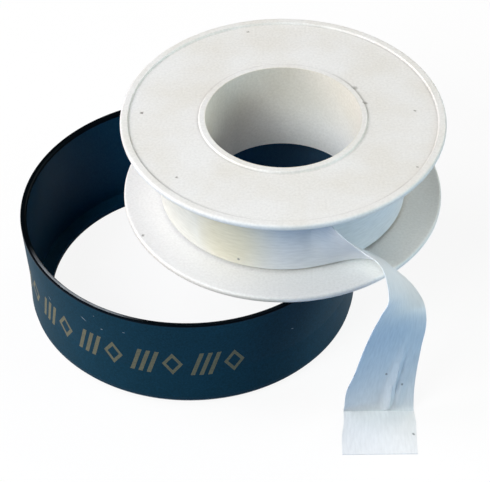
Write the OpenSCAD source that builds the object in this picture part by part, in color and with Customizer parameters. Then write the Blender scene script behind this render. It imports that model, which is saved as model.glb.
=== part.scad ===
// Thread seal tape roll: a spool of tape that stands off-centre on the rim of its open cover ring.
// The free end of the tape twists over the lower flange and hangs down to the table.
// Millimetres, +Z up. The origin is on the table, under the middle of the object's outline.

/* [Spool] */
// Diameter of both flanges
flange_d = 53; // [47:0.5:60]
// Thickness of a flange between its beads
flange_t = 0.75; // [0.6:0.05:1.2]
// Height of the rim bead and of the collar above the flange's outer face
bead_h = 0.3; // [0.15:0.05:0.8]
// Width of the rim bead
bead_w = 1.4; // [0.8:0.1:3]
// Rounding of the flange's edge
edge_round = 0.4; // [0.1:0.05:0.45]
// Diameter of the hole through the spool
bore_d = 25.4; // [18:0.2:27]
// Width of the collar round the hole
collar_w = 1.1; // [0.6:0.1:2]
// Wall of each of the two sleeves that make the hub
sleeve_wall = 1; // [0.8:0.1:1.4]
// Gap between the two sleeves
sleeve_clearance = 0.1; // [0.05:0.05:0.3]

/* [Tape] */
// Width of the tape
tape_w = 12; // [9:0.5:19]
// Depth of the wound tape on the hub, where the tape leaves the roll
wound_depth = 5.7; // [4:0.1:8]
// Thickness at which the film is drawn
film_t = 0.4; // [0.3:0.05:0.5]
// Gap between the outer turn and the turn under it
turn_gap = 0.5; // [0.45:0.05:0.8]
// Gap between the outer turn and the inner turns
core_gap = 0.3; // [0.3:0.05:0.6]
// Gap between the tape and the lower flange
lower_side_gap = 0.6; // [0.4:0.1:1.5]
// Gap between the tape and the upper flange
upper_side_gap = 1.8; // [0.4:0.1:2.5]
// How far past the flange's edge the free end reaches on the table
tail_reach = 17.7; // [15:0.1:24]

/* [Cover ring] */
// Height of the ring
ring_h = 19; // [17:0.5:26]
// Wall of the ring above its lip
ring_wall = 0.95; // [0.8:0.05:2]
// Gap between the flange and the ring's wall when the cover is on
seat_clearance = 0.2; // [0.1:0.05:0.5]
// How much wider the ring's mouth is than its seat, on the radius
mouth_lead = 0.6; // [0.2:0.05:1]
// Width of the rim at the mouth
rim_w = 1.05; // [1:0.05:2]
// Height at which the outer wall starts to widen towards the mouth
flare_z = 8; // [4:0.5:12]
// Width of the lip that stops the spool
lip_w = 2.4; // [1:0.1:5]
// Thickness of the lip
lip_t = 1.2; // [0.8:0.1:1.8]
// Rounding between the ring's base and its wall
base_round = 2; // [0.5:0.1:2.2]
// Rounding of the rim's inner edge
rim_round = 0.5; // [0.1:0.05:0.6]

/* [Placement] */
// Distance of the spool's axis from the ring's axis, along X
spool_dx = 15.35; // [5:0.05:20]
// Distance of the spool's axis from the ring's axis, along Y
spool_dy = 3.1; // [-6:0.1:6]

/* [Hidden] */
$fn = 90;

WHITE = [0.92, 0.92, 0.90];
NAVY = [0.06, 0.12, 0.19];
FILM = [0.90, 0.93, 0.96];

// Small rounding of moulded edges
soft_edge = 0.2;
// Segments in each rounding of a profile
arc_steps = 4;

// Spool
flange_r = flange_d / 2;
bore_r = bore_d / 2;
flange_h = flange_t + bead_h;
groove_w = tape_w + lower_side_gap + upper_side_gap;
spool_h = groove_w + 2 * flange_h;
inner_sleeve_r = bore_r + sleeve_wall;
seat_sleeve_r = inner_sleeve_r + sleeve_clearance;
hub_r = seat_sleeve_r + sleeve_wall;

// Ring
seat_r = flange_r + seat_clearance;
mouth_r = seat_r + mouth_lead;
base_r = seat_r + ring_wall;
rim_r = mouth_r + rim_w;
lip_r = seat_r - lip_w;

// Tape on the spool
spool_z = ring_h;
tape_z = spool_z + flange_h + lower_side_gap;
tape_mid_z = tape_z + tape_w / 2;
turn_steps = 96;
// The outer turn runs on a little past one full turn, so that its inner end is covered
turn_sections = 103;
turn_count = turn_sections / turn_steps;
turn_growth = film_t + turn_gap;
leave_angle = -79;
leave_r = hub_r + wound_depth - film_t / 2;
core_r = leave_r - turn_growth * turn_count - film_t / 2 - core_gap;

// Free end of the tape. It turns over past the flange, so that its inner face looks out. Each row is one
// line across it: how far out its middle is (0 at the roll, 1 at the flange's edge, 2 at the tape's end),
// its angle about the spool's axis, its height (1 at the middle of the roll, 0 on the table), and the way
// across to the edge that is the upper one on the roll, in tape widths.
TAIL = [
    [0, leave_angle, 1, [0, 0, 1]],
    [0.6, -65.5, 0.98, [-0.1, -0.55, 0.85]],
    [1, -60.5, 0.97, [-0.2, -0.65, 0.75]],
    [1.2, -58.5, 0.97, [-0.2, -0.7, 0.65]],
    [1.4, -58, 0.88, [-0.35, -0.8, 0.5]],
    [1.5, -59.5, 0.82, [-0.6, -0.75, 0.4]],
    [1.55, -61, 0.75, [-0.75, -0.65, 0.25]],
    [1.55, -62, 0.6, [-0.85, -0.5, 0.05]],
    [1.55, -63.5, 0.45, [-0.9, -0.45, 0]],
    [1.55, -65, 0.3, [-0.95, -0.4, 0]],
    [1.55, -65.5, 0.13, [-0.95, -0.25, 0]],
    [1.52, -65, 0, [-0.95, 0, 0]],
    [1.65, -66.5, 0, [-0.97, 0, 0]],
    [1.8, -68.5, 0, [-1, 0, 0]],
    [2, -70.4, 0, [-1, 0, 0]]
];
tail_steps = 6;

// Outline on the table, from the ring's axis, and the shift that puts its middle at the origin
outline_x = [-rim_r, max(rim_r, spool_dx + flange_r)];
outline_y = [min(-rim_r, spool_dy + tail_point(len(TAIL) - 1)[1]), max(rim_r, spool_dy + flange_r)];
ring_at = [-(outline_x[0] + outline_x[1]) / 2, -(outline_y[0] + outline_y[1]) / 2, 0];
spool_at = ring_at + [spool_dx, spool_dy, 0];

function unit(v) = v / norm(v);
function polar(r, a) = [r * cos(a), r * sin(a), 0];
function sum(list, i = 0) = i < len(list) ? list[i] + sum(list, i + 1) : 0;

// Points of an arc from angle a to angle b
function arc(centre, r, a, b) =
    [for (i = [0:arc_steps]) let (t = a + (b - a) * i / arc_steps) centre + [r * cos(t), r * sin(t)]];

// Four corners of the tape at one station: inner face low and high, then outer face high and low
function corners(mid, across, out) =
    let (w = across * tape_w / 2, n = out * film_t / 2) [mid - w - n, mid + w - n, mid + w + n, mid - w + n];

// Middle line of the outer turn, about the spool's axis
function turn_angle(i) = leave_angle - 360 * turn_count * (1 - i / turn_sections);
function turn_r(i) = leave_r - turn_growth * turn_count * (1 - i / turn_sections);
function turn_point(i) = polar(turn_r(i), turn_angle(i)) + [0, 0, tape_mid_z];

TURN = [for (i = [0:turn_sections]) corners(turn_point(i), [0, 0, 1], polar(1, turn_angle(i)))];

// Least gap between the outer turn and itself, over pairs at least half a turn apart
self_gap = min([
    for (i = [0:turn_sections], j = [i + turn_steps / 2:1:turn_sections]) norm(turn_point(j) - turn_point(i))
]) - film_t;

// Middle line of the free end, about the spool's axis
function tail_r(way) =
    way <= 1 ? leave_r + way * (flange_r - leave_r) : flange_r + (way - 1) * tail_reach;
function tail_z(share) = film_t / 2 + share * (tape_mid_z - film_t / 2);
function tail_point(i) = polar(tail_r(TAIL[i][0]), TAIL[i][1]) + [0, 0, tail_z(TAIL[i][2])];

tail_last = len(TAIL) - 1;
leave_way = polar(1, leave_angle + 90);
TAIL_MID = [
    tail_point(0) - leave_way * norm(tail_point(1) - tail_point(0)),
    for (i = [0:tail_last]) tail_point(i),
    2 * tail_point(tail_last) - tail_point(tail_last - 1)
];
TAIL_ACROSS = [TAIL[0][3], for (row = TAIL) row[3], TAIL[tail_last][3]];

// Curve through the points, between points i and i + 1, and its slope
function through(p, i, t) = 0.5 * (
    2 * p[i] + (p[i + 1] - p[i - 1]) * t
    + (2 * p[i - 1] - 5 * p[i] + 4 * p[i + 1] - p[i + 2]) * t * t
    + (3 * p[i] - p[i - 1] - 3 * p[i + 1] + p[i + 2]) * t * t * t
);
function slope(p, i, t) = 0.5 * (
    p[i + 1] - p[i - 1]
    + 2 * (2 * p[i - 1] - 5 * p[i] + 4 * p[i + 1] - p[i + 2]) * t
    + 3 * (3 * p[i] - p[i - 1] - 3 * p[i + 1] + p[i + 2]) * t * t
);

// Corners of the free end a number of steps along it, lifted where they would reach below the table
function tail_corners(step) =
    let (i = min(1 + floor(step / tail_steps), tail_last), t = step / tail_steps - (i - 1))
    let (across = through(TAIL_ACROSS, i, t), out = unit(cross(slope(TAIL_MID, i, t), across)))
    let (mid = through(TAIL_MID, i, t), reach = abs(across[2]) * tape_w / 2 + abs(out[2]) * film_t / 2)
    corners(mid + [0, 0, max(0, reach - mid[2])], across, out);

TAIL_SECTIONS = [
    TURN[turn_sections],
    for (step = [1:tail_last * tail_steps]) tail_corners(step)
];
TAIL_LINE = [for (s = TAIL_SECTIONS) (s[0] + s[2]) / 2];
tail_length = sum([for (i = [1:len(TAIL_LINE) - 1]) norm(TAIL_LINE[i] - TAIL_LINE[i - 1])]);

echo(least_gap_of_outer_turn_to_itself = self_gap, tail_length = tail_length);

// Closed strip of film through a row of sections
module ribbon(sections) {
    last = len(sections) - 1;
    sides = [
        for (i = [0:last - 1], k = [0:3])
            let (a = 4 * i + k, b = 4 * i + (k + 1) % 4, c = b + 4, d = a + 4)
            each [[a, c, b], [a, d, c]]
    ];
    e = 4 * last;
    ends = [[0, 1, 2], [0, 2, 3], [e, e + 2, e + 1], [e, e + 3, e + 2]];
    polyhedron(points = [for (s = sections) each s], faces = concat(sides, ends), convexity = 10);
}

// One half of the spool, with its flange's outer face down at 0 and its sleeve standing up from it
module spool_half(inner_r, sleeve_h) {
    rotate_extrude()
    polygon(concat(
        [[inner_r, 0], [inner_r + collar_w - soft_edge, 0], [inner_r + collar_w, bead_h]],
        [[flange_r - bead_w, bead_h], [flange_r - bead_w + soft_edge, 0]],
        arc([flange_r - edge_round, edge_round], edge_round, -90, 0),
        arc([flange_r - edge_round, flange_h - edge_round], edge_round, 0, 90),
        [[inner_r + sleeve_wall, flange_h], [inner_r + sleeve_wall, sleeve_h], [inner_r, sleeve_h]]
    ));
}

module cover_ring() {
    color(NAVY)
    translate(ring_at)
    rotate_extrude()
    polygon(concat(
        [[lip_r, soft_edge], [lip_r + soft_edge, 0]],
        arc([base_r - base_round, base_round], base_round, -90, 0),
        [[base_r, flare_z]],
        arc([rim_r - soft_edge, ring_h - soft_edge], soft_edge, 0, 90),
        arc([mouth_r + rim_round, ring_h - rim_round], rim_round, 90, 180),
        [[seat_r, lip_t], [lip_r + soft_edge, lip_t], [lip_r, lip_t - soft_edge]]
    ));
}

module spool_upper_half() {
    color(WHITE)
    translate(spool_at + [0, 0, spool_z + spool_h])
    mirror([0, 0, 1])
    spool_half(bore_r, spool_h);
}

module spool_lower_half() {
    color(WHITE)
    translate(spool_at + [0, 0, spool_z])
    spool_half(seat_sleeve_r, spool_h - flange_h);
}

module tape_pack() {
    color(FILM)
    translate(spool_at + [0, 0, tape_z])
    rotate_extrude()
    translate([hub_r, 0])
    square([core_r - hub_r, tape_w]);
}

module tape_outer_turn() {
    color(FILM)
    translate(spool_at)
    ribbon(TURN);
}

module tape_tail() {
    color(FILM)
    translate(spool_at)
    ribbon(TAIL_SECTIONS);
}

cover_ring();
spool_upper_half();
spool_lower_half();
tape_pack();
tape_outer_turn();
tape_tail();
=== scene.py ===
"""Thread seal tape roll: looks, film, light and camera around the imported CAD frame."""

import itertools
import math

import bpy
from mathutils import Matrix, Vector


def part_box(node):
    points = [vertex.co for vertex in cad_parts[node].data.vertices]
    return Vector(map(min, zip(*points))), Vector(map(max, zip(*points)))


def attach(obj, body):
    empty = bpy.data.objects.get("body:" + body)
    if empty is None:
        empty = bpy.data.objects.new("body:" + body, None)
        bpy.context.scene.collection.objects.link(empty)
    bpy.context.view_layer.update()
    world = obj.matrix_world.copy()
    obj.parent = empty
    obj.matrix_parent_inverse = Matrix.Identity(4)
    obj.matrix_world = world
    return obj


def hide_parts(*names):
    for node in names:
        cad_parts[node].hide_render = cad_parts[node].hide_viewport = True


bl_info = {
    "name": "Thread seal tape roll",
    "version": (1, 0, 0),
    "blender": (4, 5, 0),
    "location": "3D View > Sidebar > Tape roll",
    "description": "Dresses the packed tape roll: ring, spool, wound tape, film and stage",
    "category": "Object",
}

MM = 0.001
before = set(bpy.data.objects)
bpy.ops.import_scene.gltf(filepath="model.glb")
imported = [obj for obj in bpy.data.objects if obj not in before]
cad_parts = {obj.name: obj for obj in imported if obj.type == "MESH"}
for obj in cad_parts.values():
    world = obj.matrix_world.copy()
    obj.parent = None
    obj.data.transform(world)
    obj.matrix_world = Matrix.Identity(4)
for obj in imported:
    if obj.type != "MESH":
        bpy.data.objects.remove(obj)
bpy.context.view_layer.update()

RING_LOW, RING_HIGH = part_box("cover_ring")
SPOOL_LOW, SPOOL_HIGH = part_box("spool_upper_half")
PACK_LOW, PACK_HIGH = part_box("tape_pack")
RING_AXIS = (RING_LOW + RING_HIGH) / 2
SPOOL_AXIS = (SPOOL_LOW + SPOOL_HIGH) / 2
# Radius at which lengths along the ring's tapering wall are measured, and radius of the ring's mouth
WALL_R = 27.75 * MM
MOUTH_R = 27.3 * MM
# Radii of the spool: its flange, its bore, the foot of the collar, the foot of the rim bead and the hub
FLANGE_R = (SPOOL_HIGH.x - SPOOL_LOW.x) / 2
BORE_R = 12.7 * MM
COLLAR_FOOT_R = 13.9 * MM
BEAD_FOOT_R = 25.05 * MM
HUB_R = 14.8 * MM
TAPE_WIDTH = PACK_HIGH.z - PACK_LOW.z
TAPE_MID = (PACK_HIGH.z + PACK_LOW.z) / 2
# Radius and angle of the film's middle where it leaves the roll, and how far past the flange it ends
LEAVE_R = 20.38 * MM
LEAVE_ANGLE = -79
TAIL_REACH = 17.7 * MM

# Free end of the tape, row by row as in the part's source. It turns over past the flange, so that its
# inner face looks out. Each row is one line across it: how far out its middle is (0 at the roll, 1 at the
# flange's edge, 2 at the tape's end), its angle about the spool's axis in degrees, its height (1 at the
# middle of the roll, 0 on the table), and the way across to the edge that is the upper one on the roll,
# in tape widths
TAIL = [
    (0, LEAVE_ANGLE, 1, (0, 0, 1)),
    (0.6, -65.5, 0.98, (-0.1, -0.55, 0.85)),
    (1, -60.5, 0.97, (-0.2, -0.65, 0.75)),
    (1.2, -58.5, 0.97, (-0.2, -0.7, 0.65)),
    (1.4, -58, 0.88, (-0.35, -0.8, 0.5)),
    (1.5, -59.5, 0.82, (-0.6, -0.75, 0.4)),
    (1.55, -61, 0.75, (-0.75, -0.65, 0.25)),
    (1.55, -62, 0.6, (-0.85, -0.5, 0.05)),
    (1.55, -63.5, 0.45, (-0.9, -0.45, 0)),
    (1.55, -65, 0.3, (-0.95, -0.4, 0)),
    (1.55, -65.5, 0.13, (-0.95, -0.25, 0)),
    (1.52, -65, 0, (-0.95, 0, 0)),
    (1.65, -66.5, 0, (-0.97, 0, 0)),
    (1.8, -68.5, 0, (-1, 0, 0)),
    (2, -70.4, 0, (-1, 0, 0)),
]
# Rows at which the film passes the flange's edge, hangs down, and folds onto the table
EDGE_ROW = 2
HANG_ROW = 5
FOLD_ROW = 11

# Settings that many nodes share: a smooth ramp, a mix of two colours, and grain laid over a colour
SMOOTH = {"interpolation_type": "SMOOTHSTEP"}
TINT = {"data_type": "RGBA"}
GRAIN = {"data_type": "RGBA", "blend_type": "LINEAR_LIGHT"}


def hex_linear(code):
    """Linear RGBA of an sRGB hex colour."""
    srgb = [int(code[i:i + 2], 16) / 255 for i in (1, 3, 5)]
    return (*[c / 12.92 if c <= 0.04045 else ((c + 0.055) / 1.055) ** 2.4 for c in srgb], 1)


def add(tree, kind, links=None, **settings):
    """Adds a node with its settings; links maps a socket to a value or to another node's output.

    Sockets by number: a MapRange takes its value at 0 and maps the range 1, 2 to the range 3, 4. A mix of
    colours takes them at 6 and 7 and gives them at output 2.
    """
    node = tree.nodes.new("ShaderNode" + kind)
    for name, value in settings.items():
        setattr(node, name, value)
    for socket, value in (links or {}).items():
        if isinstance(value, bpy.types.NodeSocket):
            tree.links.new(value, node.inputs[socket])
        else:
            node.inputs[socket].default_value = value
    return node


def new_material(name):
    """Empty node material with its output, as (material, tree, output)."""
    material = bpy.data.materials.new(name)
    material.use_nodes = True
    material.node_tree.nodes.clear()
    return material, material.node_tree, add(material.node_tree, "OutputMaterial")


def about_axis(tree, axis):
    """Place about an upright axis, and distance from it, in millimetres."""
    place = add(tree, "TexCoord").outputs["Object"]
    about = add(tree, "VectorMath", {0: place, 1: (axis.x, axis.y, 0)}, operation="SUBTRACT")
    mm = add(tree, "VectorMath", {0: about.outputs[0], "Scale": 1 / MM}, operation="SCALE")
    flat = add(tree, "VectorMath", {0: mm.outputs[0], 1: (1, 1, 0)}, operation="MULTIPLY")
    reach = add(tree, "VectorMath", {0: flat.outputs[0]}, operation="LENGTH")
    return mm.outputs[0], reach.outputs["Value"]


def colour(name, text, code):
    """Colour property with an sRGB hex default."""
    return bpy.props.FloatVectorProperty(
        name=name, description=text, subtype="COLOR", size=4, min=0, max=1, default=hex_linear(code))


def length(name, text, default):
    """Length property in metres."""
    return bpy.props.FloatProperty(
        name=name, description=text, default=default, min=0, precision=5,
        unit="LENGTH", subtype="DISTANCE")


def power(name, text, default):
    """Lamp power property in watts."""
    return bpy.props.FloatProperty(name=name, description=text, default=default, min=0, unit="POWER")


class RingLooks(bpy.types.PropertyGroup):
    navy: colour("Navy", "Colour of the satin outer wall", "#163440")
    navy_deep: colour("Deep navy", "Colour of the polished inside", "#0B3550")
    # The rim's colour is painted shade: its top is laid near-black for its dark reflections
    rim_painted_shade: colour("Navy black", "Colour of the polished rim", "#05090D")
    navy_pale: colour("Pale navy", "Colour where the plastic is rubbed", "#1E4A62")
    gleam: colour("Gleam", "Tint of the reflections", "#5A9AD0")
    # The rim's inner edge colour is a painted highlight, not wear
    painted_rim_highlight: colour("Wear", "Colour of the worn inner edge of the rim", "#A0A4A8")
    ink: colour("Ink", "Colour of the printed bars and diamonds", "#7A745C")
    dust: colour("Dust", "Colour of the nicks and dust specks", "#9AA6AC")
    print_low: length("Print bottom", "Height of the print's lower edge", 7.2 * MM)
    print_high: length("Print top", "Height of the print's upper edge", 12.4 * MM)


class SpoolLooks(bpy.types.PropertyGroup):
    white: colour("White", "Colour of the spool's plastic", "#E7E5DF")
    white_cool: colour("Cool white", "Colour of the paler flow marks", "#ECECEA")
    # The lower half's colour is painted light thrown up from the floor
    white_painted_light: colour("Clean white", "Colour of the lower half, less yellowed", "#ECEBE8")
    handled: colour("Handled white", "Colour of the bore, yellowed by handling", "#DCD4C0")
    # This colour serves both the specks of dirt and the painted shade at the feet of the collar and rim
    # bead
    grime_and_painted_shade: colour("Grime", "Colour of dirt in the corners and of the specks", "#5E574B")


class TapeLooks(bpy.types.PropertyGroup):
    film: colour("Film", "Colour of the film", "#D9DEE2")
    film_thick: colour("Thick film", "Colour of the streaks where the film is thicker", "#E1E4E7")
    # This colour is painted light on the upturned bend and on the end lying flat
    film_painted_light: colour("Pale film", "Colour of the strained bend and of the end on the table", "#EAECEE")
    # This colour is painted blue shade on the single layer and under the flange
    film_painted_shade: colour("Single film", "Colour of one layer with light behind it", "#B8CEE1")
    # This colour is painted warm light on the roll, not a stain
    film_painted_warm_light: colour("Stain", "Colour of the yellowed patch on the roll", "#DDD3AE")
    speck: colour("Speck", "Colour of specks on the film", "#6A6E72")
    thickness: length("Film thickness", "Thickness of the film", 0.1 * MM)
    growth: length("Growth", "How much the roll's radius grows in one turn", 0.12 * MM)


class StageLooks(bpy.types.PropertyGroup):
    floor: colour("Floor", "Colour of the floor", "#FAFAFA")
    bounce: colour("Bounce", "Colour of the light that the floor throws back", "#437BAE")
    key: colour("Key light", "Colour of the lamp at the front left", "#F9FFFF")
    side: colour("Side light", "Colour of the lamp high on the left", "#EFEEFF")
    low: colour("Low light", "Colour of the lamp low on the left", "#FFEDE0")
    fill: colour("Fill light", "Colour of the lamp low on the right", "#E5F9FF")
    back: colour("Back light", "Colour of the lamp behind on the right", "#FFF0D5")
    sky: colour("Sky", "Colour of the light from all round", "#FFFEF2")
    key_power: power("Key power", "Power of the lamp at the front left", 3.8)
    side_power: power("Side power", "Power of the lamp high on the left", 1.9)
    low_power: power("Low power", "Power of the lamp low on the left", 1.7)
    fill_power: power("Fill power", "Power of the lamp low on the right", 2.3)
    back_power: power("Back power", "Power of the lamp behind on the right", 1.25)
    sky_level: bpy.props.FloatProperty(
        name="Sky level", description="Strength of the light from all round", default=0.02, min=0)


class TapeRollLooks(bpy.types.PropertyGroup):
    ring: bpy.props.PointerProperty(type=RingLooks, name="Ring", description="Looks of the cover ring")
    spool: bpy.props.PointerProperty(type=SpoolLooks, name="Spool", description="Looks of the spool")
    tape: bpy.props.PointerProperty(type=TapeLooks, name="Tape", description="Looks of the tape")
    stage: bpy.props.PointerProperty(type=StageLooks, name="Stage", description="Floor, lamps and sky")


# Print on the ring, in millimetres along the wall: length of a group, places of its bars and half their
# width, place of its diamond, and middle and half length of the printed stretch from the wall's -Y side
PRINT_PITCH = 10
PRINT_BARS = (1.2, 2.6, 4.0)
BAR_HALF = 0.35
DIAMOND_AT = 7.2
PRINT_AT = -15
PRINT_HALF = 24.8

# Nicks in the ring's wall, in millimetres along the wall from its -Y side, and up: place, half length,
# and slant in radians; and half their width
NICKS = [
    ((-18, 15), 0.7, 0.5),
    ((-14.5, 14.5), 0.25, 0),
    ((-10.5, 15.5), 0.25, 0),
    ((-26.5, 13.5), 0.5, 0.9),
    ((17.5, 12.5), 0.3, 0.4),
]
NICK_HALF = 0.1


def navy_polypropylene_moulded(looks):
    """Polypropylene, injection moulded: a fine satin outer wall, a dark polished inside, and a polished rim
    painted near-black as shade.
    """
    material, tree, output = new_material("navy_polypropylene_moulded")
    mm, reach = about_axis(tree, RING_AXIS)
    # Angle from the -Y side, and place on the wall: length along it, and height
    xyz = add(tree, "SeparateXYZ", {0: mm})
    z = xyz.outputs[2]
    back = add(tree, "Math", {0: xyz.outputs[1], 1: -1}, operation="MULTIPLY")
    angle = add(tree, "Math", {0: xyz.outputs[0], 1: back.outputs[0]}, operation="ARCTAN2").outputs[0]
    arc = add(tree, "Math", {0: angle, 1: WALL_R / MM}, operation="MULTIPLY").outputs[0]
    wall = add(tree, "CombineXYZ", {0: arc, 1: z, 2: 0}).outputs[0]
    # The satin covers the outside below the rim
    outside = add(tree, "Math", {0: reach, 1: WALL_R / MM - 0.3}, operation="GREATER_THAN")
    below_rim = add(tree, "Math", {0: z, 1: RING_HIGH.z / MM - 0.25}, operation="LESS_THAN")
    on_satin = add(tree, "Math", {0: outside.outputs[0], 1: below_rim.outputs[0]}, operation="MULTIPLY")
    satin = on_satin.outputs[0]

    # Etched grain about 0.3 mm across, and cloudy rubs about 6 mm across
    grain = add(tree, "TexNoise", {"Vector": mm, "Scale": 1 / 0.3, "Detail": 2}).outputs[0]
    speckle = add(tree, "MapRange", {0: grain, 1: 0.3, 2: 0.75, 3: 0, 4: 0.45}).outputs[0]
    cloud = add(tree, "TexNoise", {"Vector": mm, "Scale": 1 / 6, "Detail": 3})
    rubbed = add(tree, "MapRange", {0: cloud.outputs[0], 1: 0.5, 2: 0.8, 3: 0, 4: 0.15})
    pale = add(tree, "Math", {0: speckle, 1: rubbed.outputs[0]}, operation="ADD")
    # Dust about 0.2 mm across, in one cell in twenty of 3 mm
    cell = add(tree, "TexVoronoi", {"Vector": mm, "Scale": 1 / 3})
    near = add(tree, "MapRange", {0: cell.outputs["Distance"], 1: 0.045, 2: 0.025, 3: 0, 4: 0.6})
    one = add(tree, "SeparateColor", {0: cell.outputs["Color"]})
    some = add(tree, "Math", {0: one.outputs[0], 1: 0.95}, operation="GREATER_THAN")
    dust = add(tree, "Math", {0: near.outputs[0], 1: some.outputs[0]}, operation="MULTIPLY").outputs[0]
    # Nicks about 0.1 mm wide, drawn 0.2 mm wide so that they show
    for (x, y), half_long, slant in NICKS:
        off = add(tree, "VectorMath", {0: wall, 1: (x, y, 0)}, operation="SUBTRACT")
        turned = add(tree, "VectorRotate", {"Vector": off.outputs[0], "Angle": slant},
                     rotation_type="Z_AXIS")
        shrunk = add(tree, "VectorMath", {0: turned.outputs[0], 1: (1 / half_long, 1 / NICK_HALF, 1)},
                     operation="MULTIPLY")
        far = add(tree, "VectorMath", {0: shrunk.outputs[0]}, operation="LENGTH")
        nick = add(tree, "MapRange", {0: far.outputs["Value"], 1: 1, 2: 0.5, 3: 0, 4: 0.8})
        dust = add(tree, "Math", {0: dust, 1: nick.outputs[0]}, operation="MAXIMUM").outputs[0]

    # Print: groups of three slanted bars and an outlined diamond, in one stretch of the wall
    middle = (looks.print_low + looks.print_high) / 2 / MM
    half = (looks.print_high - looks.print_low) / 2 / MM
    up = add(tree, "Math", {0: z, 1: middle}, operation="SUBTRACT").outputs[0]
    gem_at = add(tree, "Math", {0: arc, 1: PRINT_PITCH}, operation="FLOORED_MODULO")
    gem_x = add(tree, "Math", {0: gem_at.outputs[0], 1: DIAMOND_AT}, operation="SUBTRACT")
    gem_wide = add(tree, "Math", {0: gem_x.outputs[0]}, operation="ABSOLUTE")
    gem_tall = add(tree, "Math", {0: up}, operation="ABSOLUTE")
    gem_sum = add(tree, "Math", {0: gem_wide.outputs[0], 1: 1.5, 2: gem_tall.outputs[0]},
                  operation="MULTIPLY_ADD")
    gem = add(tree, "Math", {0: gem_sum.outputs[0], 1: half - 0.55, 2: 0.5}, operation="COMPARE")
    drawn = gem.outputs[0]
    lean = add(tree, "Math", {0: up, 1: -0.3, 2: arc}, operation="MULTIPLY_ADD")
    bar_at = add(tree, "Math", {0: lean.outputs[0], 1: PRINT_PITCH}, operation="FLOORED_MODULO")
    for bar in PRINT_BARS:
        stroke = add(tree, "Math", {0: bar_at.outputs[0], 1: bar, 2: BAR_HALF}, operation="COMPARE")
        more = add(tree, "Math", {0: drawn, 1: stroke.outputs[0]}, operation="ADD", use_clamp=True)
        drawn = more.outputs[0]
    tall = add(tree, "Math", {0: z, 1: middle, 2: half}, operation="COMPARE")
    wide = add(tree, "Math", {0: arc, 1: PRINT_AT, 2: PRINT_HALF}, operation="COMPARE")
    inside = add(tree, "Math", {0: tall.outputs[0], 1: wide.outputs[0]}, operation="MULTIPLY")
    shown = add(tree, "Math", {0: inside.outputs[0], 1: satin}, operation="MULTIPLY")
    worn = add(tree, "MapRange", {0: grain, 1: 0.3, 2: 0.6, 3: 0.65, 4: 0.95})
    printed = add(tree, "Math", {0: shown.outputs[0], 1: drawn}, operation="MULTIPLY")
    ink = add(tree, "Math", {0: printed.outputs[0], 1: worn.outputs[0]}, operation="MULTIPLY")

    # Painted highlight on the inner half of the rim, on the front left, in streaks about 4 mm long
    edge = add(tree, "Math", {0: reach, 1: MOUTH_R / MM + 0.45, 2: 0.26}, operation="COMPARE")
    top = add(tree, "Math", {0: z, 1: RING_HIGH.z / MM - 0.5}, operation="GREATER_THAN")
    streaks = add(tree, "Mapping", {0: wall, "Scale": (1 / 4, 1 / 0.2, 1)})
    streak = add(tree, "TexNoise", {"Vector": streaks.outputs[0], "Scale": 1, "Detail": 3})
    rough = add(tree, "MapRange", {0: streak.outputs[0], 1: 0.3, 2: 0.6, 3: 0.35, 4: 1})
    aside = add(tree, "Math", {0: angle, 1: math.radians(-42)}, operation="SUBTRACT")
    away = add(tree, "Math", {0: aside.outputs[0]}, operation="ABSOLUTE")
    reached = add(tree, "MapRange", {0: away.outputs[0], 1: 0.5, 2: 0.2, 3: 0, 4: 0.9}, **SMOOTH)
    on_edge = add(tree, "Math", {0: edge.outputs[0], 1: top.outputs[0]}, operation="MULTIPLY")
    fading = add(tree, "Math", {0: on_edge.outputs[0], 1: reached.outputs[0]}, operation="MULTIPLY")
    painted_rim_highlight = add(tree, "Math", {0: fading.outputs[0], 1: rough.outputs[0]}, operation="MULTIPLY")

    body = add(tree, "Mix", {"Factor": pale.outputs[0], 6: looks.navy, 7: looks.navy_pale}, **TINT)
    deep = add(tree, "Mix", {"Factor": speckle, 6: looks.navy_deep, 7: looks.navy_pale}, **TINT)
    # Painted shade: the rim's top is laid near-black
    dark = add(tree, "Mix", {"Factor": top.outputs[0], 6: deep.outputs[2], 7: looks.rim_painted_shade}, **TINT)
    both = add(tree, "Mix", {"Factor": satin, 6: dark.outputs[2], 7: body.outputs[2]}, **TINT)
    inked = add(tree, "Mix", {"Factor": ink.outputs[0], 6: both.outputs[2], 7: looks.ink}, **TINT)
    # Lays the painted highlight on the rim's inner edge
    edged = add(tree, "Mix", {"Factor": painted_rim_highlight.outputs[0], 6: inked.outputs[2], 7: looks.painted_rim_highlight}, **TINT)
    dusted = add(tree, "Mix", {"Factor": dust, 6: edged.outputs[2], 7: looks.dust}, **TINT)
    gloss = add(tree, "MapRange", {0: satin, 1: 0, 2: 1, 3: 0.3, 4: 0.5})
    shine = add(tree, "MapRange", {0: satin, 1: 0, 2: 1, 3: 0.1, 4: 0.03})
    bump = add(tree, "Bump", {"Height": grain, "Strength": 0.12, "Distance": 0.04 * MM})
    shader = add(tree, "BsdfPrincipled", {
        "Base Color": dusted.outputs[2], "Roughness": gloss.outputs[0], "Normal": bump.outputs[0],
        "IOR": 1.49, "Specular IOR Level": shine.outputs[0], "Specular Tint": looks.gleam})
    tree.links.new(shader.outputs[0], output.inputs[0])
    return material


# Specks and smudges on the spool, in millimetres from its axis and the table: place, radius, strength
SPECKS = [
    ((-23, 1.5, 35.2), 0.35, 0.8),
    ((-17, -14.5, 35.2), 0.3, 0.7),
    ((-5.5, 23, 35.2), 0.3, 0.6),
    ((21.5, 1.5, 35.2), 0.3, 0.7),
    ((21, -12.5, 35.2), 0.25, 0.6),
    ((13.5, 3.5, 35.5), 0.6, 0.75),
    ((12, 7.5, 35.5), 0.7, 0.6),
    ((-23, -11.5, 20), 0.35, 0.7),
]
# Span over which noise moves their edges, in millimetres
RAGGED = 0.5


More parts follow.
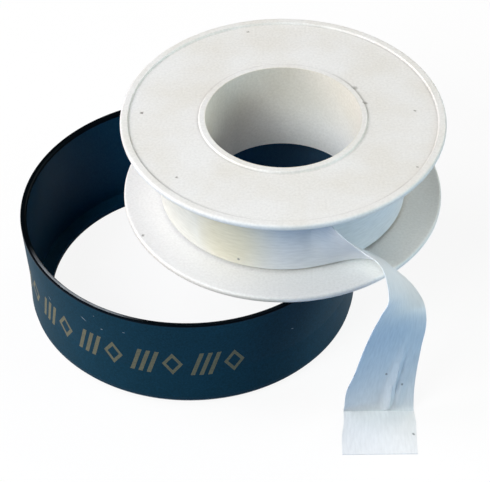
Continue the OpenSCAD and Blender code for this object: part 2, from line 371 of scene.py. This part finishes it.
def white_polypropylene_moulded(looks):
    """Polypropylene, injection moulded: soft white satin, faint flow marks, specks of dirt, painted shade
    in its corners and painted light on its lower half.
    """
    material, tree, output = new_material("white_polypropylene_moulded")
    mm, reach = about_axis(tree, SPOOL_AXIS)
    height = add(tree, "SeparateXYZ", {0: mm}).outputs[2]
    foot = SPOOL_LOW.z / MM
    middle = (SPOOL_HIGH.z + SPOOL_LOW.z) / 2 / MM

    # Flow marks about 9 mm across
    flow = add(tree, "TexNoise", {"Vector": mm, "Scale": 1 / 9, "Detail": 3}).outputs[0]
    paler = add(tree, "MapRange", {0: flow, 1: 0.35, 2: 0.65, 3: 0, 4: 1})
    body = add(tree, "Mix", {"Factor": paler.outputs[0], 6: looks.white, 7: looks.white_cool}, **TINT)
    # The bore is yellowed, and not the collar round it
    in_bore = add(tree, "MapRange", {0: reach, 1: BORE_R / MM + 0.2, 2: BORE_R / MM + 0.05, 3: 0, 4: 0.4})
    yellowed_and_warm_lit = add(tree, "Mix", {"Factor": in_bore.outputs[0], 6: body.outputs[2], 7: looks.handled}, **TINT)
    # Painted light: the lower half of the spool is painted whiter and cooler, for the light thrown up from
    # the floor
    low = add(tree, "MapRange", {0: height, 1: foot + 12, 2: foot + 3, 3: 0, 4: 1}, **SMOOTH)
    white = add(tree, "Mix", {"Factor": low.outputs[0], 6: yellowed_and_warm_lit.outputs[2], 7: looks.white_painted_light}, **TINT)
    # Painted shade along the foot of the collar and of the rim bead, 0.3 mm wide and broken up every 4 mm
    # or so
    collar = add(tree, "Math", {0: reach, 1: COLLAR_FOOT_R / MM}, operation="SUBTRACT")
    collar_far = add(tree, "Math", {0: collar.outputs[0]}, operation="ABSOLUTE")
    bead = add(tree, "Math", {0: reach, 1: BEAD_FOOT_R / MM}, operation="SUBTRACT")
    bead_far = add(tree, "Math", {0: bead.outputs[0]}, operation="ABSOLUTE")
    foot_far = add(tree, "Math", {0: collar_far.outputs[0], 1: bead_far.outputs[0]}, operation="MINIMUM")
    broken = add(tree, "TexNoise", {"Vector": mm, "Scale": 1 / 4, "Detail": 3})
    patch = add(tree, "MapRange", {0: broken.outputs[0], 1: 0.35, 2: 0.65, 3: 0.1, 4: 0.22})
    line = add(tree, "MapRange", {0: foot_far.outputs[0], 1: 0.3, 2: 0.05, 3: 0, 4: 1})
    ringed = add(tree, "Math", {0: line.outputs[0], 1: patch.outputs[0]}, operation="MULTIPLY")
    # Only the outer faces have them, so only they have that line
    off_middle = add(tree, "Math", {0: height, 1: middle}, operation="SUBTRACT")
    off = add(tree, "Math", {0: off_middle.outputs[0]}, operation="ABSOLUTE")
    outer = add(tree, "Math", {0: off.outputs[0], 1: SPOOL_HIGH.z / MM - middle - 0.5},
                operation="GREATER_THAN")
    painted_shade_and_specks = add(tree, "Math", {0: ringed.outputs[0], 1: outer.outputs[0]}, operation="MULTIPLY").outputs[0]
    # Specks, with ragged edges of about 0.3 mm
    ragged = add(tree, "TexNoise", {"Vector": mm, "Scale": 1 / 0.3, "Detail": 2})
    shift = add(tree, "VectorMath", {0: ragged.outputs["Color"], 1: (RAGGED, RAGGED, RAGGED), 2: mm},
                operation="MULTIPLY_ADD")
    for spot, size, strength in SPECKS:
        centre = [c + RAGGED / 2 for c in spot]
        far = add(tree, "VectorMath", {0: shift.outputs[0], 1: centre}, operation="DISTANCE")
        dark = add(tree, "MapRange", {0: far.outputs["Value"], 1: size, 2: size * 0.4, 3: 0, 4: strength})
        painted_shade_and_specks = add(tree, "Math", {0: painted_shade_and_specks, 1: dark.outputs[0]}, operation="MAXIMUM").outputs[0]
    # Lays the painted shade at the feet and the specks of dirt
    shaded_and_soiled = add(tree, "Mix", {"Factor": painted_shade_and_specks, 6: white.outputs[2], 7: looks.grime_and_painted_shade}, **TINT)
    gloss = add(tree, "MapRange", {0: flow, 1: 0.3, 2: 0.7, 3: 0.4, 4: 0.5})
    # Fine mould texture about 0.4 mm across, which also holds a little dust
    fine = add(tree, "TexNoise", {"Vector": mm, "Scale": 1 / 0.4, "Detail": 2})
    grained = add(tree, "Mix", {"Factor": 0.1, 6: shaded_and_soiled.outputs[2], 7: fine.outputs[0]}, **GRAIN)
    bump = add(tree, "Bump", {"Height": fine.outputs[0], "Strength": 0.08, "Distance": 0.04 * MM})
    shader = add(tree, "BsdfPrincipled", {
        "Base Color": grained.outputs[2], "Roughness": gloss.outputs[0], "Normal": bump.outputs[0],
        "IOR": 1.49})
    tree.links.new(shader.outputs[0], output.inputs[0])
    return material


# Specks on the film, in millimetres along it from where it leaves the roll, and across it
FILM_SPECKS = [(36, -0.5), (37.5, -3.5), (48, -5.5), (-11.5, -5)]


def ptfe_film_stretched(looks, warm_light_at, leave, fold, skew):
    """PTFE film, pressed and stretched unsintered: waxy bluish white with streaks along its length."""
    material, tree, output = new_material("ptfe_film_stretched")
    # The film's own map runs along it and across it, in millimetres
    uv = add(tree, "TexCoord").outputs["UV"]
    ways = add(tree, "SeparateXYZ", {0: uv})
    along = ways.outputs[0]
    across = ways.outputs[1]
    # Streaks about 0.5 mm wide and 25 mm long
    long = add(tree, "Mapping", {0: uv, "Scale": (1 / 25, 1 / 0.5, 1)})
    streak = add(tree, "TexNoise", {"Vector": long.outputs[0], "Scale": 1, "Detail": 3}).outputs[0]
    thick = add(tree, "MapRange", {0: streak, 1: 0.3, 2: 0.7, 3: 0.35, 4: 0.6})
    laid = add(tree, "Mix", {"Factor": thick.outputs[0], 6: looks.film, 7: looks.film_thick}, **TINT)
    # Painted shade: the single layer between the roll and the table is painted bluer, for the blue shade on
    # it
    past_fold = add(tree, "Math", {0: across, 1: -skew, 2: along}, operation="MULTIPLY_ADD").outputs[0]
    slanted = add(tree, "Math", {0: across, 1: 0.3, 2: along}, operation="MULTIPLY_ADD").outputs[0]
    past = add(tree, "MapRange", {0: slanted, 1: leave + 14, 2: leave + 28, 3: 0, 4: 0.85}, **SMOOTH)
    short = add(tree, "MapRange", {0: past_fold, 1: fold, 2: fold - 20, 3: 0, 4: 1}, **SMOOTH)
    hung = add(tree, "Math", {0: past.outputs[0], 1: short.outputs[0]}, operation="MULTIPLY")
    # So is its upper side where it begins to lift off the roll, painted bluer as shade under the flange
    begins = add(tree, "MapRange", {0: along, 1: leave - 12, 2: leave - 3, 3: 0, 4: 0.5}, **SMOOTH)
    ends = add(tree, "MapRange", {0: along, 1: leave + 6, 2: leave + 2, 3: 0, 4: 1}, **SMOOTH)
    upper = add(tree, "MapRange", {0: across, 1: -3, 2: 4, 3: 0, 4: 1}, **SMOOTH)
    lifting = add(tree, "Math", {0: begins.outputs[0], 1: ends.outputs[0]}, operation="MULTIPLY")
    lifted = add(tree, "Math", {0: lifting.outputs[0], 1: upper.outputs[0]}, operation="MULTIPLY")
    painted_blue_shade = add(tree, "Math", {0: hung.outputs[0], 1: lifted.outputs[0]}, operation="MAXIMUM")
    blue = add(tree, "Mix", {
        "Factor": painted_blue_shade.outputs[0], 6: laid.outputs[2], 7: looks.film_painted_shade}, **TINT)
    # Painted light: it is painted paler at the bend past the flange, and at the end that lies flat on the
    # table
    into = add(tree, "MapRange", {0: along, 1: leave + 3, 2: leave + 8, 3: 0, 4: 1}, **SMOOTH)
    out_of = add(tree, "MapRange", {0: slanted, 1: leave + 27, 2: leave + 16, 3: 0, 4: 1}, **SMOOTH)
    bent = add(tree, "Math", {0: into.outputs[0], 1: out_of.outputs[0]}, operation="MULTIPLY")
    flat = add(tree, "Math", {0: past_fold, 1: fold}, operation="GREATER_THAN")
    painted_light = add(tree, "Math", {0: bent.outputs[0], 1: flat.outputs[0]}, operation="MAXIMUM")
    body = add(tree, "Mix", {"Factor": painted_light.outputs[0], 6: blue.outputs[2], 7: looks.film_painted_light}, **TINT)
    # Painted warm light on the roll, a cream-yellow patch from edge to edge, which fades out 10 mm to each
    # side
    off = add(tree, "VectorMath", {0: uv, 1: warm_light_at}, operation="SUBTRACT")
    wide = add(tree, "VectorMath", {0: off.outputs[0], 1: (1 / 10, 1 / 13, 0)}, operation="MULTIPLY")
    far = add(tree, "VectorMath", {0: wide.outputs[0]}, operation="LENGTH")
    yellow = add(tree, "MapRange", {0: far.outputs["Value"], 1: 1, 2: 0.2, 3: 0, 4: 0.65}, **SMOOTH)
    # Fainter painted warm light round it and on from it, away from the free end
    before = add(tree, "MapRange", {0: along, 1: leave - 9, 2: leave - 18, 3: 0, 4: 0.3}, **SMOOTH)
    after = add(tree, "MapRange", {0: along, 1: leave - 70, 2: leave - 55, 3: 0, 4: 1}, **SMOOTH)
    faint = add(tree, "Math", {0: before.outputs[0], 1: after.outputs[0]}, operation="MULTIPLY")
    yellowed_and_warm_lit = add(tree, "Math", {0: yellow.outputs[0], 1: faint.outputs[0]}, operation="MAXIMUM")
    warm_lit = add(tree, "Mix", {"Factor": yellowed_and_warm_lit.outputs[0], 6: body.outputs[2], 7: looks.film_painted_warm_light}, **TINT)
    # Specks about 0.4 mm across
    speck = 0
    for u, v in FILM_SPECKS:
        away = add(tree, "VectorMath", {0: uv, 1: (leave + u, v, 0)}, operation="DISTANCE")
        near = add(tree, "MapRange", {0: away.outputs["Value"], 1: 0.3, 2: 0.12, 3: 0, 4: 0.8})
        speck = add(tree, "Math", {0: speck, 1: near.outputs[0]}, operation="MAXIMUM").outputs[0]
    specked = add(tree, "Mix", {"Factor": speck, 6: warm_lit.outputs[2], 7: looks.speck}, **TINT)
    # Fibres about 0.4 mm wide and 2 mm long
    fibres = add(tree, "Mapping", {0: uv, "Scale": (1 / 2, 1 / 0.4, 1)})
    fibre = add(tree, "TexNoise", {"Vector": fibres.outputs[0], "Scale": 1, "Detail": 2})
    grained = add(tree, "Mix", {"Factor": 0.1, 6: specked.outputs[2], 7: fibre.outputs[0]}, **GRAIN)
    bump = add(tree, "Bump", {"Height": streak, "Strength": 0.02, "Distance": 0.06 * MM})
    shader = add(tree, "BsdfPrincipled", {
        "Base Color": grained.outputs[2], "Normal": bump.outputs[0], "Roughness": 0.42, "IOR": 1.35})
    tree.links.new(shader.outputs[0], output.inputs[0])
    return material


def ptfe_tape_wound(looks):
    """The same film, wound: its edges show as fine rings."""
    material, tree, output = new_material("ptfe_tape_wound")
    reach = about_axis(tree, SPOOL_AXIS)[1]
    # One ring for each film edge would be 0.1 mm wide; drawn 0.3 mm wide so that they show
    ring_at = add(tree, "CombineXYZ", {0: reach, 1: 0, 2: 0})
    rings = add(tree, "TexNoise", {"Vector": ring_at.outputs[0], "Scale": 1 / 0.3, "Detail": 2})
    pale = add(tree, "MapRange", {0: rings.outputs[0], 1: 0.35, 2: 0.65, 3: 0, 4: 1})
    body = add(tree, "Mix", {"Factor": pale.outputs[0], 6: looks.film, 7: looks.film_thick}, **TINT)
    bump = add(tree, "Bump", {"Height": rings.outputs[0], "Strength": 0.3, "Distance": 0.08 * MM})
    shader = add(tree, "BsdfPrincipled", {
        "Base Color": body.outputs[2], "Normal": bump.outputs[0], "Roughness": 0.5, "IOR": 1.35})
    tree.links.new(shader.outputs[0], output.inputs[0])
    return material


def dress(node, material):
    """Gives a CAD node that material."""
    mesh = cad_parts[node].data
    mesh.materials.clear()
    mesh.materials.append(material)
    for face in mesh.polygons:
        face.material_index = 0


def new_piece(name, points, faces, material, sharp=40):
    """Mesh object with smooth faces and edges kept sharp above that angle in degrees."""
    mesh = bpy.data.meshes.new(name)
    mesh.from_pydata(points, [], faces)
    mesh.shade_smooth()
    mesh.set_sharp_from_angle(angle=math.radians(sharp))
    mesh.materials.append(material)
    piece = bpy.data.objects.new(name, mesh)
    bpy.context.scene.collection.objects.link(piece)
    return piece


def polar(r, angle, z=0):
    """Point about the spool's axis, angle in degrees."""
    a = math.radians(angle)
    return Vector((SPOOL_AXIS.x + r * math.cos(a), SPOOL_AXIS.y + r * math.sin(a), z))


def through(p, i, t):
    """Point and slope of the curve through the points p, between p[i] and p[i + 1]."""
    a, b, c, d = p[i - 1:i + 3]
    square = 2 * a - 5 * b + 4 * c - d
    cube = 3 * b - a - 3 * c + d
    return ((2 * b + (c - a) * t + square * t ** 2 + cube * t ** 3) / 2,
            (c - a + 2 * square * t + 3 * cube * t ** 2) / 2)


def ease(x, low, high):
    """0 below low, 1 above high, smooth between."""
    t = min(max((x - low) / (high - low), 0), 1)
    return t * t * (3 - 2 * t)


class TAPEROLL_OT_ring(bpy.types.Operator):
    """Finish the cover ring in moulded navy plastic with a plain printed band"""
    bl_idname = "tape_roll.ring"
    bl_label = "Finish cover ring"

    def execute(self, context):
        dress("cover_ring", navy_polypropylene_moulded(context.scene.tape_roll.ring))
        return {"FINISHED"}


class TAPEROLL_OT_spool(bpy.types.Operator):
    """Finish both halves of the spool in moulded white plastic"""
    bl_idname = "tape_roll.spool"
    bl_label = "Finish spool"

    def execute(self, context):
        material = white_polypropylene_moulded(context.scene.tape_roll.spool)
        for node in ("spool_upper_half", "spool_lower_half"):
            dress(node, material)
        return {"FINISHED"}


class TAPEROLL_OT_wound_tape(bpy.types.Operator):
    """Wind the inner turns of the tape, with uneven layers at both sides"""
    bl_idname = "tape_roll.wound_tape"
    bl_label = "Wind tape"

    segments = 144
    layer = 0.18 * MM
    # How far layers lie proud or short at most
    uneven = 0.1 * MM
    # Turns of growth that are left to the film
    turns_over = 1.08

    def execute(self, context):
        looks = context.scene.tape_roll.tape
        outer = LEAVE_R - self.turns_over * looks.growth - looks.thickness
        count = round((outer - HUB_R) / self.layer)
        steps = [HUB_R + (outer - HUB_R) * i / count for i in range(count + 1)]
        shifts = [self.uneven / 2 * (math.sin(i * 2.4) + math.sin(i * 5.1 + 1)) for i in range(count + 1)]
        profile = [(r, PACK_LOW.z + self.uneven + d) for r, d in zip(steps, shifts)]
        profile += [(r, PACK_HIGH.z - self.uneven + d) for r, d in zip(reversed(steps), shifts)]
        points, faces, n = [], [], len(profile)
        for s in range(self.segments):
            points += [polar(r, 360 * s / self.segments, z) for r, z in profile]
            a, b = s * n, (s + 1) % self.segments * n
            faces += [(a + k, b + k, b + (k + 1) % n, a + (k + 1) % n) for k in range(n)]
        piece = new_piece("wound_tape", points, faces, ptfe_tape_wound(looks))
        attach(piece, "spool")
        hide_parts("tape_pack")
        return {"FINISHED"}


class TAPEROLL_OT_film(bpy.types.Operator):
    """Lay the outer turn of the tape and its free end as one strip of film"""
    bl_idname = "tape_roll.film"
    bl_label = "Lay film"

    # Turns on the roll and the rows along them, rows from one row of the free end to the next, and columns
    turns = 1.07
    turn_rows = 200
    rows_between = 20
    columns = 24
    # Gap between the film and the table
    table_gap = 0.01 * MM
    # How high the film is rounded over past the flange, and how far its slack edges wave
    crown = 0.65 * MM
    wave = 0.06 * MM
    # Two pinched ridges at the fold: place in tape widths across, height, and width in tape widths; and the
    # tape widths that they lean in a millimetre
    ridges = ((-0.09, 0.95 * MM, 0.055), (-0.23, 0.5 * MM, 0.06))
    ridge_lean = 0.008
    # Degrees from the middle of the painted warm light patch to where the film leaves the roll
    warm_light_angle = 38

    def film_row(self, tail_row):
        """Number of the film's row that is that row of the free end."""
        return self.turn_rows + tail_row * self.rows_between

    def rows(self, looks):
        """Middle, way across and way out of each row, from the inner end to the free end."""
        rows = []
        for k in range(self.turn_rows):
            left = self.turns * (1 - k / self.turn_rows)
            angle = LEAVE_ANGLE - 360 * left
            out = polar(1, angle) - polar(0, angle)
            rows.append((polar(LEAVE_R - looks.growth * left, angle, TAPE_MID), Vector((0, 0, 1)), out))
        low = looks.thickness / 2 + self.table_gap
        middles = []
        for way, angle, share, _ in TAIL:
            r = LEAVE_R + way * (FLANGE_R - LEAVE_R) if way <= 1 else FLANGE_R + (way - 1) * TAIL_REACH
            middles.append(polar(r, angle, low + share * (TAPE_MID - low)))
        # One more point at each end gives the curve its slope there
        start = polar(1, LEAVE_ANGLE + 90) - polar(0, 0)
        before = middles[0] - start * (middles[1] - middles[0]).length
        middles = [before, *middles, 2 * middles[-1] - middles[-2]]
        acrosses = [Vector(row[3]) for row in TAIL]
        acrosses = [acrosses[0], *acrosses, acrosses[-1]]
        for i in range(1, len(TAIL)):
            for k in range(self.rows_between + (i == len(TAIL) - 1)):
                t = k / self.rows_between
                middle, slope = through(middles, i, t)
                across = through(acrosses, i, t)[0]
                out = slope.cross(across).normalized()
                # No edge goes below the table
                reach = abs(across.z) * TAPE_WIDTH / 2 + low
                rows.append((middle + Vector((0, 0, max(0, reach - middle.z))), across, out))
        return rows

    def relief(self, s, v, leave, edge, hang, fold):
        """Height over the even strip, at the length s along it and v tape widths from its middle."""
        # Rounded over where it turns past the flange
        round_over = ease(s, leave + 2 * MM, edge) * (1 - ease(s, edge, hang))
        height = -self.crown * round_over * (1 - (2 * v) ** 2)
        # Pinched ridges that run up from the fold towards the flange
        up = fold - s
        for start, tall, width in self.ridges:
            off = v - start + self.ridge_lean * up / MM
            ridge = tall * math.exp(-(off / width) ** 2) * ease(up, -0.3 * MM, 2 * MM)
            height -= ridge * (1 - ease(up, 8 * MM, 19 * MM))
        # Slack edges
        slack = ease(s, leave + 4 * MM, leave + 12 * MM) * (1 - ease(s, fold - 4 * MM, fold))
        return height + slack * self.wave * (2 * v) ** 4 * math.sin((s - leave) / (1.5 * MM) + 2 * v)

    def faces(self, last, count):
        """Faces of a strip of rows 0 to last, whose second side is numbered on from count."""
        n = self.columns + 1
        faces = []
        for i in range(last):
            for j in range(self.columns):
                a = i * n + j
                faces.append((a, a + n, a + n + 1, a + 1))
                faces.append((a + count, a + 1 + count, a + n + 1 + count, a + n + count))
            a, b = i * n, i * n + self.columns
            faces.append((a, a + count, a + n + count, a + n))
            faces.append((b, b + n, b + n + count, b + count))
        for j in range(self.columns):
            a, b = j, last * n + j
            faces.append((a, a + 1, a + 1 + count, a + count))
            faces.append((b, b + count, b + 1 + count, b + 1))
        return faces

    def execute(self, context):
        looks = context.scene.tape_roll.tape
        rows = self.rows(looks)
        # Length along the lower and the upper edge, up to each row
        edges = []
        for side in (-TAPE_WIDTH / 2, TAPE_WIDTH / 2):
            edge = [middle + across * side for middle, across, _ in rows]
            edges.append([0, *itertools.accumulate((b - a).length for a, b in zip(edge, edge[1:]))])
        along = [(a + b) / 2 for a, b in zip(*edges)]
        marks = [along[self.film_row(row)] for row in (0, EDGE_ROW, HANG_ROW, FOLD_ROW)]
        points, n = [], self.columns + 1
        for (middle, across, out), s in zip(rows, along):
            for j in range(n):
                v = j / self.columns - 0.5
                points.append((middle + across * (v * TAPE_WIDTH), out, self.relief(s, v, *marks)))
        t = looks.thickness / 2
        count = len(points)
        both = [p + out * (d + t) for p, out, d in points] + [p + out * (d - t) for p, out, d in points]
        leave, fold = marks[0], marks[-1]
        warm_light_at = (leave / MM - math.radians(self.warm_light_angle) * LEAVE_R / MM, -1, 0)
        # The two edges reach the fold after unequal lengths
        fold_row = self.film_row(FOLD_ROW)
        skew = (edges[1][fold_row] - edges[0][fold_row]) / TAPE_WIDTH
        film = ptfe_film_stretched(looks, warm_light_at, leave / MM, fold / MM, skew)
        piece = new_piece("tape_film", both, self.faces(len(rows) - 1, count), film)
        layer = piece.data.uv_layers.new(name="film")
        for loop in piece.data.loops:
            row, column = divmod(loop.vertex_index % count, n)
            v = column / self.columns
            u = edges[0][row] * (1 - v) + edges[1][row] * v
            layer.data[loop.index].uv = (u / MM, (v - 0.5) * TAPE_WIDTH / MM)
        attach(piece, "tape_end")
        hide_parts("tape_outer_turn", "tape_tail")
        return {"FINISHED"}


class TAPEROLL_OT_stage(bpy.types.Operator):
    """Set the floor, the lamps and the camera"""
    bl_idname = "tape_roll.stage"
    bl_label = "Set stage"

    # Place of each lamp, what all of them aim at and how wide they are, in metres
    lamps = {
        "key": (-0.38, -0.40, 0.45),
        "side": (-0.42, 0.08, 0.55),
        "low": (-0.62, 0, 0.20),
        "fill": (0.60, -0.10, 0.15),
        "back": (0.38, 0.40, 0.45),
    }
    lamp_aim = (0, 0, 0.02)
    lamp_width = 0.35
    # Half the floor's side in metres, and the share of even white in its look; the rest takes the shadow
    floor_half = 2
    floor_white = 0.9
    # Radii about the ring's axis between which the floor goes from dark to white in reflections
    shade_r = 26 * MM
    open_r = 30 * MM
    # Camera's place in metres, its dip below level and its roll in radians, and its lens in millimetres
    camera_place = (0.00224, -0.25193, 0.2492)
    camera_dip = 0.749
    camera_roll = -0.009
    sensor = 36
    lens = 152

    def floor(self, looks):
        """White paper floor, white to the eye with a cool bounce on the object, whose shadow it keeps."""
        material, tree, output = new_material("white_paper_rolled")
        path = add(tree, "LightPath")
        direct = path.outputs["Is Camera Ray"]
        seen = add(tree, "Math", {0: direct, 1: path.outputs["Is Glossy Ray"]}, operation="ADD")
        shown = add(tree, "Math", {0: seen.outputs[0], 1: path.outputs["Is Transmission Ray"]},
                    operation="ADD", use_clamp=True)
        # In reflections the floor inside the ring is as dark as it is there
        place = add(tree, "NewGeometry").outputs["Position"]
        far = add(tree, "VectorMath", {0: place, 1: (RING_AXIS.x, RING_AXIS.y, 0)}, operation="DISTANCE")
        open_floor = add(tree, "MapRange", {
            0: far.outputs["Value"], 1: self.shade_r, 2: self.open_r, 3: 0, 4: self.floor_white})
        whole = add(tree, "Math", {0: direct, 1: self.floor_white}, operation="MULTIPLY")
        lit = add(tree, "Math", {0: open_floor.outputs[0], 1: whole.outputs[0]}, operation="MAXIMUM")
        white = add(tree, "Math", {0: shown.outputs[0], 1: lit.outputs[0]}, operation="MULTIPLY")
        tint = add(tree, "Mix", {"Factor": shown.outputs[0], 6: looks.bounce, 7: looks.floor}, **TINT)
        matt = add(tree, "BsdfDiffuse", {"Color": tint.outputs[2]})
        glow = add(tree, "Emission", {"Color": (1, 1, 1, 1), "Strength": 1})
        mixed = add(tree, "MixShader", {0: white.outputs[0], 1: matt.outputs[0], 2: glow.outputs[0]})
        tree.links.new(mixed.outputs[0], output.inputs[0])
        mesh = bpy.data.meshes.new("floor")
        h = self.floor_half
        mesh.from_pydata([(-h, -h, 0), (h, -h, 0), (h, h, 0), (-h, h, 0)], [], [(0, 1, 2, 3)])
        mesh.materials.append(material)
        floor = bpy.data.objects.new("floor", mesh)
        bpy.context.scene.collection.objects.link(floor)

    def execute(self, context):
        scene = context.scene
        looks = scene.tape_roll.stage
        self.floor(looks)
        for name, place in self.lamps.items():
            lamp = bpy.data.lights.new(name, "AREA")
            lamp.energy = getattr(looks, name + "_power")
            lamp.color = getattr(looks, name)[:3]
            lamp.size = self.lamp_width
            holder = bpy.data.objects.new(name, lamp)
            holder.location = place
            aim = Vector(self.lamp_aim) - Vector(place)
            holder.rotation_euler = aim.to_track_quat("-Z", "Y").to_euler()
            scene.collection.objects.link(holder)
        world = bpy.data.worlds.new("studio")
        world.use_nodes = True
        world.node_tree.nodes.clear()
        sky = add(world.node_tree, "Background", {"Color": looks.sky, "Strength": looks.sky_level})
        out = add(world.node_tree, "OutputWorld")
        world.node_tree.links.new(sky.outputs[0], out.inputs[0])
        scene.world = world
        scene.view_settings.view_transform = "Standard"

        lens = bpy.data.cameras.new("camera")
        lens.sensor_width = self.sensor
        lens.lens = self.lens
        camera = bpy.data.objects.new("camera", lens)
        camera.matrix_world = (Matrix.Translation(self.camera_place)
                               @ Matrix.Rotation(math.pi / 2 - self.camera_dip, 4, "X")
                               @ Matrix.Rotation(self.camera_roll, 4, "Z"))
        scene.collection.objects.link(camera)
        scene.camera = camera
        return {"FINISHED"}


class TAPEROLL_PT_panel(bpy.types.Panel):
    """Sizes, colours and steps of the tape roll"""
    bl_idname = "TAPEROLL_PT_panel"
    bl_label = "Tape roll"
    bl_space_type = "VIEW_3D"
    bl_region_type = "UI"
    bl_category = "Tape roll"

    def draw(self, context):
        looks = context.scene.tape_roll
        for group, steps in (("ring", ["ring"]), ("spool", ["spool"]), ("tape", ["wound_tape", "film"]),
                             ("stage", ["stage"])):
            box = self.layout.box()
            values = getattr(looks, group)
            for name in values.__annotations__:
                box.prop(values, name)
            for step in steps:
                box.operator("tape_roll." + step)


CLASSES = (RingLooks, SpoolLooks, TapeLooks, StageLooks, TapeRollLooks,
           TAPEROLL_OT_ring, TAPEROLL_OT_spool, TAPEROLL_OT_wound_tape, TAPEROLL_OT_film,
           TAPEROLL_OT_stage, TAPEROLL_PT_panel)


def register():
    for cls in CLASSES:
        bpy.utils.register_class(cls)
    bpy.types.Scene.tape_roll = bpy.props.PointerProperty(type=TapeRollLooks)


def unregister():
    del bpy.types.Scene.tape_roll
    for cls in reversed(CLASSES):
        bpy.utils.unregister_class(cls)


def main():
    register()
    bpy.ops.tape_roll.stage()
    bpy.ops.tape_roll.ring()
    bpy.ops.tape_roll.spool()
    bpy.ops.tape_roll.wound_tape()
    bpy.ops.tape_roll.film()


if __name__ == "__main__":
    main()
